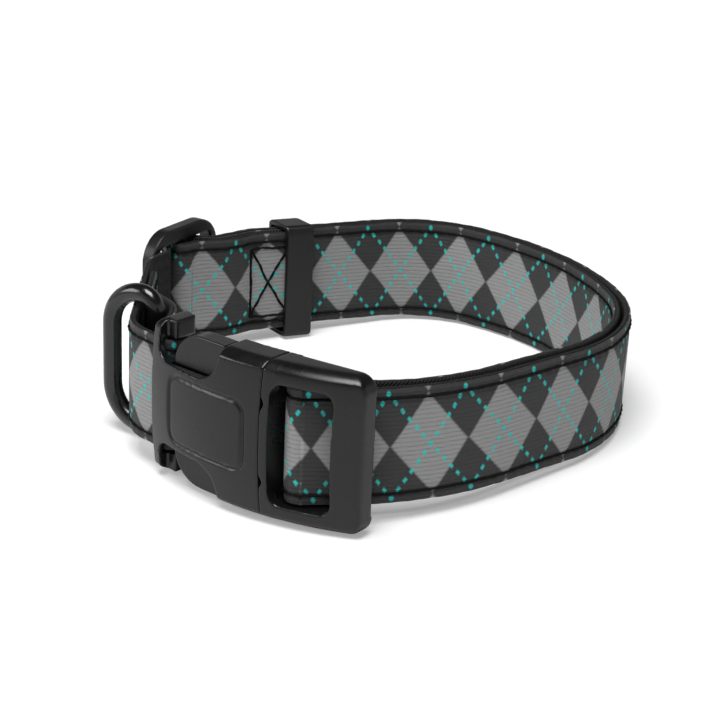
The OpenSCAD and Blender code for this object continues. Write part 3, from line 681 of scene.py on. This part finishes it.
def nylon_webbing():
    """Woven nylon webbing: black, matt, with a chevron weave of 0.8 mm yarns that turns every 1.6 mm."""
    material, tree, shader = new_material("woven_nylon_webbing")
    uv = add(tree, "ShaderNodeUVMap", uv_map="weave").outputs[0]
    parts = add(tree, "ShaderNodeSeparateXYZ", {0: uv})
    chevron = add(tree, "ShaderNodeMath", {0: parts.outputs[1], 1: 1.6}, operation="PINGPONG").outputs[0]
    slant = add(tree, "ShaderNodeMath", {0: parts.outputs[0], 1: chevron}, operation="ADD").outputs[0]
    turns = add(tree, "ShaderNodeMath", {0: slant, 1: 2 * math.pi / 0.8}, operation="MULTIPLY").outputs[0]
    yarn = add(tree, "ShaderNodeMath", {0: turns}, operation="SINE").outputs[0]
    fuzz = add(tree, "ShaderNodeTexNoise", {"Vector": uv, "Scale": 4.0, "Detail": 4.0}).outputs[0]
    height = add(tree, "ShaderNodeMath", {0: yarn, 1: fuzz}, operation="ADD").outputs[0]
    bump = add(tree, "ShaderNodeBump", {"Height": height, "Strength": 0.7, "Distance": 0.0002}).outputs[0]
    colour = add(tree, "ShaderNodeMix", {0: fuzz, 6: srgb("#0e0e0f"), 7: srgb("#242425")},
                 data_type="RGBA").outputs[2]
    fill(tree, shader, {"Base Color": colour, "Normal": bump, "Roughness": 0.72, "Specular IOR Level": 0.3})
    return material


def polyester_thread():
    """Bonded polyester sewing thread: black, slightly shiny, with the slant of its twist, painted shade in its
    grooves and a painted highlight on its crests.
    """
    material, tree, shader = new_material("bonded_polyester_thread")
    uv = add(tree, "ShaderNodeUVMap", uv_map="weave").outputs[0]
    parts = add(tree, "ShaderNodeSeparateXYZ", {0: uv})
    lay = add(tree, "ShaderNodeMath", {0: parts.outputs[0], 1: 14.0}, operation="MULTIPLY").outputs[0]
    lap = add(tree, "ShaderNodeMath", {0: parts.outputs[1], 1: 4 * math.pi}, operation="MULTIPLY").outputs[0]
    slant = add(tree, "ShaderNodeMath", {0: lay, 1: lap}, operation="ADD").outputs[0]
    twist = add(tree, "ShaderNodeMath", {0: slant}, operation="SINE").outputs[0]
    bump = add(tree, "ShaderNodeBump", {"Height": twist, "Strength": 0.35, "Distance": 0.0001}).outputs[0]
    # Painted shade and highlight: the colour is darker in the twist's grooves and lighter on its crests
    shade = add(tree, "ShaderNodeMapRange", {0: twist, 1: -1.0, 2: 1.0, 3: 0.0, 4: 1.0}).outputs[0]
    colour = add(tree, "ShaderNodeMix", {0: shade, 6: srgb("#020202"), 7: srgb("#080808")},
                 data_type="RGBA").outputs[2]
    fill(tree, shader, {"Base Color": colour, "Normal": bump, "Roughness": 0.6, "Specular IOR Level": 0.15})
    return material


def moulded_acetal(name, dark, light, rough):
    """Injection-moulded acetal: near black, satin, with the fine spark-eroded grain of its mould, drawn at 0.35 mm,
    coarser than the real one so that it shows, and soft flow marks about 9 mm apart."""
    material, tree, shader = new_material(name)
    at = add(tree, "ShaderNodeTexCoord").outputs["Object"]
    grain = add(tree, "ShaderNodeTexNoise", {"Vector": at, "Scale": 1000 / 0.35, "Detail": 2.0}).outputs[0]
    flow = add(tree, "ShaderNodeTexNoise",
               {"Vector": at, "Scale": 1000 / 9.0, "Detail": 4.0, "Roughness": 0.6}).outputs[0]
    colour = add(tree, "ShaderNodeMix", {0: flow, 6: srgb(dark), 7: srgb(light)}, data_type="RGBA").outputs[2]
    gloss = add(tree, "ShaderNodeMapRange", {0: flow, 1: 0.3, 2: 0.7, 3: rough - 0.05, 4: rough + 0.06}).outputs[0]
    bump = add(tree, "ShaderNodeBump", {"Height": grain, "Strength": 0.16, "Distance": 0.00006}).outputs[0]
    fill(tree, shader, {"Base Color": colour, "Normal": bump, "Roughness": gloss, "IOR": 1.48})
    return material


def coated_wire():
    """Steel wire with a baked gloss black coating: deep black, sharp highlights, orange peel of 1.2 mm and scuffs of
    3.5 mm that dull it a little."""
    material, tree, shader = new_material("gloss_black_coated_steel")
    at = add(tree, "ShaderNodeTexCoord").outputs["Object"]
    peel = add(tree, "ShaderNodeTexNoise", {"Vector": at, "Scale": 1000 / 1.2, "Detail": 2.0}).outputs[0]
    scuff = add(tree, "ShaderNodeTexNoise",
                {"Vector": at, "Scale": 1000 / 3.5, "Detail": 5.0, "Roughness": 0.65}).outputs[0]
    colour = add(tree, "ShaderNodeMix", {0: scuff, 6: srgb("#0b0b0c"), 7: srgb("#161617")},
                 data_type="RGBA").outputs[2]
    gloss = add(tree, "ShaderNodeMapRange", {0: scuff, 1: 0.35, 2: 0.75, 3: 0.16, 4: 0.3}).outputs[0]
    bump = add(tree, "ShaderNodeBump", {"Height": peel, "Strength": 0.08, "Distance": 0.00005}).outputs[0]
    fill(tree, shader, {"Base Color": colour, "Normal": bump, "Roughness": gloss,
                        "Coat Weight": 0.4, "Coat Roughness": 0.08})
    return material


PRINT, CORE, THREAD = printed_grosgrain(), nylon_webbing(), polyester_thread()
BUCKLE = moulded_acetal("moulded_acetal_buckle", "#0c0c0d", "#131314", 0.28)
SLIDE = moulded_acetal("moulded_acetal_slides", "#0f0f10", "#171718", 0.34)
WIRE = coated_wire()

# The front band stretches between these two points when the plug is drawn out
FRONT_S = 22.0
SPLIT_POINT, FRONT_POINT = stand(np.append(place([SPLIT_S, FRONT_S], np.zeros(2)), np.zeros((2, 1)), 1)).tolist()


def strap_band(prefix, line, passed):
    """Core, printed ribbon and edge seams of one band of the strap."""
    pieces = [webbing_core(f"{prefix}_woven_core", line, CORE),
              ribbon_cover(f"{prefix}_printed_ribbon", line, passed, PRINT),
              edge_seams(f"{prefix}_edge_stitches", line, THREAD)]
    for piece, node in zip(pieces, (f"{prefix}_webbing", f"{prefix}_cover", f"{prefix}_seams")):
        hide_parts(node)
    return pieces


for piece in strap_band("front", front_line, front_print):
    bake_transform(piece)
for piece in strap_band("outer", outer_line, outer_print) + strap_band("inner", inner_line, inner_print):
    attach(piece, "collar")

sewn = box_stitches("adjuster_box_stitches", BOX_S, BOX_L, lambda s: inner_d(s) + STRAP_T + PROUD, -1.0, THREAD)
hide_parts("adjuster_box_stitch")
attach(sewn, "collar")
sewn = box_stitches("ring_box_stitches", RING_BOX_S, RING_BOX_L, lambda s: outer_d(s) - PROUD, 1.0, THREAD)
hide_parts("ring_box_stitch")
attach(sewn, "collar")

ring = ring_wire("d_ring_wire", WIRE)
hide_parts("d_ring")
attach(ring, "d_ring")

for node, name, body, finish, slot, heading, voxel, rounds, far_rounds in (
        ("socket", "buckle_socket_shell", "collar", BUCKLE, "buckle_plastic", 0.0, 0.25, 4, 0),
        ("plug", "buckle_plug_frame", "plug_end", BUCKLE, "buckle_plastic", 0.0, 0.22, 4, 36),
        ("upper_prong", "upper_prong_moulding", "upper_prong", BUCKLE, "buckle_plastic", 0.0, 0.2, 5, 0),
        ("lower_prong", "lower_prong_moulding", "lower_prong", BUCKLE, "buckle_plastic", 0.0, 0.2, 5, 0),
        ("adjuster", "adjuster_moulding", "collar", SLIDE, "slide_plastic", GLIDE_HEADING, 0.22, 12, 0),
        ("keeper", "keeper_moulding", "keeper", SLIDE, "slide_plastic", KEEPER_HEADING, 0.2, 8, 0)):
    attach(moulded(node, name, finish, heading, voxel, rounds, far_rounds), body)


def floor_sheet():
    """Pale floor: shaded by the object, and lifted for the camera, more so far from the object, where the lamps do
    not reach, so that it reads as a white studio sheet."""
    material, tree, shader = new_material("white_paper_sheet")
    rays = add(tree, "ShaderNodeLightPath")
    at = add(tree, "ShaderNodeTexCoord").outputs["Object"]
    away = add(tree, "ShaderNodeVectorMath", {0: at}, operation="LENGTH").outputs["Value"]
    glow = add(tree, "ShaderNodeMapRange", {0: away, 1: 0.15, 2: 0.8, 3: 0.28, 4: 1.0}).outputs[0]
    lift = add(tree, "ShaderNodeMath", {0: rays.outputs["Is Camera Ray"], 1: glow}, operation="MULTIPLY").outputs[0]
    fill(tree, shader, {"Base Color": srgb("#e6e6e6"), "Roughness": 0.9, "Specular IOR Level": 0.0,
                        "Emission Color": (1, 1, 1, 1), "Emission Strength": lift})
    half = 3.0
    mesh = bpy.data.meshes.new("floor")
    mesh.from_pydata([(-half, -half, 0), (half, -half, 0), (half, half, 0), (-half, half, 0)], [], [(0, 1, 2, 3)])
    mesh.materials.append(material)
    floor = bpy.data.objects.new("floor", mesh)
    bpy.context.collection.objects.link(floor)


def softbox(name, at, aim, size, power):
    """Square lamp at a point, turned towards another."""
    lamp = bpy.data.lights.new(name, "AREA")
    lamp.shape = "SQUARE"
    lamp.size = size
    lamp.energy = power
    holder = bpy.data.objects.new(name, lamp)
    bpy.context.collection.objects.link(holder)
    holder.location = at
    holder.rotation_euler = (Vector(aim) - Vector(at)).to_track_quat("-Z", "Y").to_euler()


def studio():
    """World, lamps and camera. The world is white round the horizon and nearly dark overhead, so that upright faces
    and flat tops pick up white and the rounded edges between them stay black."""
    world = bpy.data.worlds.new("studio")
    world.use_nodes = True
    tree = world.node_tree
    tree.nodes.clear()
    way = add(tree, "ShaderNodeTexCoord").outputs["Generated"]
    up = add(tree, "ShaderNodeSeparateXYZ", {0: way}).outputs[2]
    shade = add(tree, "ShaderNodeMapRange", {0: up, 1: 0.3, 2: 0.5, 3: 0.5, 4: 0.03}, interpolation_type="SMOOTHSTEP")
    sky = add(tree, "ShaderNodeBackground", {"Color": (1, 1, 1, 1), "Strength": shade.outputs[0]})
    add(tree, "ShaderNodeOutputWorld", {"Surface": sky.outputs[0]})
    bpy.context.scene.world = world
    middle = (0, 0, 0.01)
    softbox("overhead_softbox", (-0.05, -0.2, 0.75), middle, 0.4, 6.0)
    softbox("left_softbox", (-0.8, -0.1, 0.4), middle, 0.35, 2.0)
    view = bpy.data.cameras.new("camera")
    view.lens = 90
    view.sensor_width = 36
    view.clip_start = 0.01
    camera = bpy.data.objects.new("camera", view)
    bpy.context.collection.objects.link(camera)
    camera.location = (-0.00185, -0.37989, 0.17447)
    camera.rotation_euler = (math.radians(66.993), 0, 0)
    bpy.context.scene.camera = camera
    bpy.context.scene.view_settings.view_transform = "Standard"


floor_sheet()
studio()
